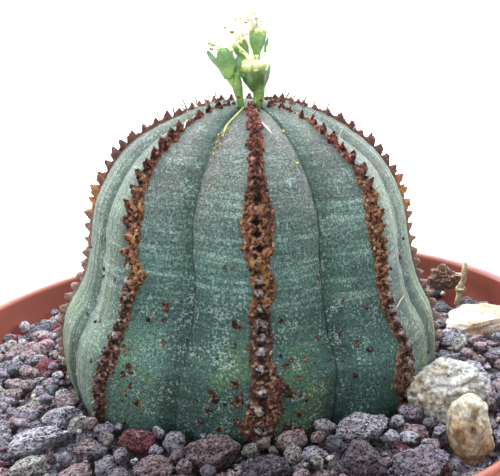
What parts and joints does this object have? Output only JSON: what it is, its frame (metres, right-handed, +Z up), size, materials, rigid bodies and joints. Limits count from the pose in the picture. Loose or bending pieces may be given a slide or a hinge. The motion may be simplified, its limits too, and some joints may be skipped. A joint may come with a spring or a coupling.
{
  "type": "potted ribbed round succulent (baseball plant, sold as a round cactus)",
  "caption": "Round ribbed succulent in flower in a tapered plastic pot, top-dressed with lava gravel and pebbles.",
  "frame": {"origin": "centre of the pot's flat foot, on the surface that it stands on", "axes": "+Z up along the pot's axis; -Y is the front, the side that faces the viewer; +X to the right"},
  "size_m": [0.116, 0.116, 0.1469],
  "materials": {
    "pot_plastic": "satin",
    "potting_mix": "matte",
    "lava_gravel": "rough, full of small bubbles",
    "pale_stone": "rough",
    "plant_skin": "matte and waxy",
    "dry_plant": "matte",
    "flower_green": "satin",
    "stamens": "matte"
  },
  "bodies": {
    "root": {"bract_left_broad": "flower_green", "bract_left_narrow": "flower_green", "bract_upper": "flower_green", "bract_upright": "flower_green", "dry_stalk": "dry_plant", "flat_beige_stone": "pale_stone", "flower_cup_centre": "flower_green", "flower_cup_left": "flower_green", "flower_cup_right": "flower_green", "flower_cup_upper": "flower_green", "flower_stalk_left": "flower_green", "flower_stalk_right": "flower_green", "flower_stalk_upper": "flower_green", "gravel_bed": "lava_gravel", "lava_stone_01": "lava_gravel", "lava_stone_02": "lava_gravel", "lava_stone_03": "lava_gravel", "lava_stone_04": "lava_gravel", "lava_stone_05": "lava_gravel", "lava_stone_06": "lava_gravel", "lava_stone_07": "lava_gravel", "lava_stone_08": "lava_gravel", "lava_stone_09": "lava_gravel", "lava_stone_10": "lava_gravel", "lava_stone_11": "lava_gravel", "lava_stone_12": "lava_gravel", "lava_stone_13": "lava_gravel", "lava_stone_14": "lava_gravel", "lava_stone_15": "lava_gravel", "lava_stone_16": "lava_gravel", "lava_stone_17": "lava_gravel", "lava_stone_18": "lava_gravel", "lava_stone_19": "lava_gravel", "lava_stone_20": "lava_gravel", "lava_stone_21": "lava_gravel", "lava_stone_22": "lava_gravel", "lava_stone_23": "lava_gravel", "lava_stone_24": "lava_gravel", "lava_stone_25": "lava_gravel", "lava_stone_26": "lava_gravel", "lava_stone_27": "lava_gravel", "lava_stone_28": "lava_gravel", "lava_stone_29": "lava_gravel", "lava_stone_30": "lava_gravel", "lava_stone_31": "lava_gravel", "lava_stone_32": "lava_gravel", "lava_stone_33": "lava_gravel", "lava_stone_34": "lava_gravel", "limestone_pebble": "pale_stone", "ochre_pebble": "pale_stone", "pot": "pot_plastic", "potting_mix": "potting_mix", "stamens_centre": "stamens", "stamens_left": "stamens", "stamens_right": "stamens", "stamens_upper": "stamens", "stem": "plant_skin", "withered_flower_head": "dry_plant"}
  },
  "joints": []
}
